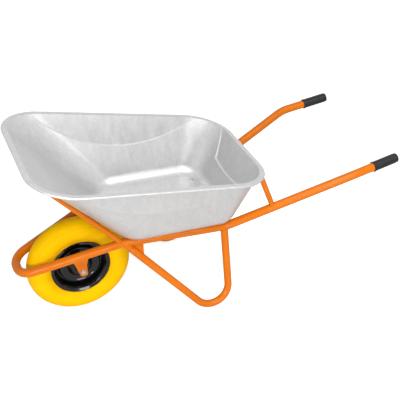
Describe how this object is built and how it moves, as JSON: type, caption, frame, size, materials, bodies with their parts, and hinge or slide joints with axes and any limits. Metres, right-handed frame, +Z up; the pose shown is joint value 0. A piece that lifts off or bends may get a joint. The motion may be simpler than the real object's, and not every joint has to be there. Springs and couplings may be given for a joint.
{
  "type": "wheelbarrow",
  "caption": "Builder's wheelbarrow: a deep pressed steel tray on a bent tube frame that loops round one solid-tyred wheel, with bent legs and ribbed hand grips.",
  "frame": {"origin": "on the ground, midway between the front of the frame's loop and the ends of the grips, on the barrow's middle plane", "axes": "+X from the wheel to the handles, +Y to the user's right, +Z up from the ground"},
  "size_m": [1.4159, 0.6264, 0.7143],
  "materials": {
    "orange_paint": "glossy",
    "galvanised_sheet": "satin",
    "black_paint": "glossy",
    "yellow_tyre": "matte",
    "grip_pvc": "matte",
    "bush_plastic": "matte",
    "zinc_steel": "satin"
  },
  "bodies": {
    "frame": {"axle": "zinc_steel", "axle_bolts": "zinc_steel", "axle_bracket_left": "orange_paint", "axle_bracket_right": "orange_paint", "axle_collar_left": "zinc_steel", "axle_collar_right": "zinc_steel", "axle_washers": "zinc_steel", "cross_strap_front": "orange_paint", "cross_strap_rear": "orange_paint", "frame_tube": "orange_paint", "front_tray_support": "orange_paint", "grip_left": "grip_pvc", "grip_right": "grip_pvc", "leg_bolts": "orange_paint", "leg_gusset_left": "orange_paint", "leg_gusset_right": "orange_paint", "leg_left": "orange_paint", "leg_nuts": "orange_paint", "leg_right": "orange_paint", "rear_strut_left": "orange_paint", "rear_strut_right": "orange_paint", "tray": "galvanised_sheet", "tray_bolts": "zinc_steel", "tray_nuts": "zinc_steel", "tray_washers": "zinc_steel"},
    "wheel": {"tyre": "yellow_tyre", "rim_half_left": "black_paint", "rim_half_right": "black_paint", "hub_tube": "black_paint", "hub_bush_left": "bush_plastic", "hub_bush_right": "bush_plastic"}
  },
  "joints": [
    {"name": "wheel_spin", "type": "hinge", "parent": "frame", "child": "wheel", "pos_m": [-0.468, 0, 0.195], "axis": [0, 1, 0], "continuous": true}
  ]
}
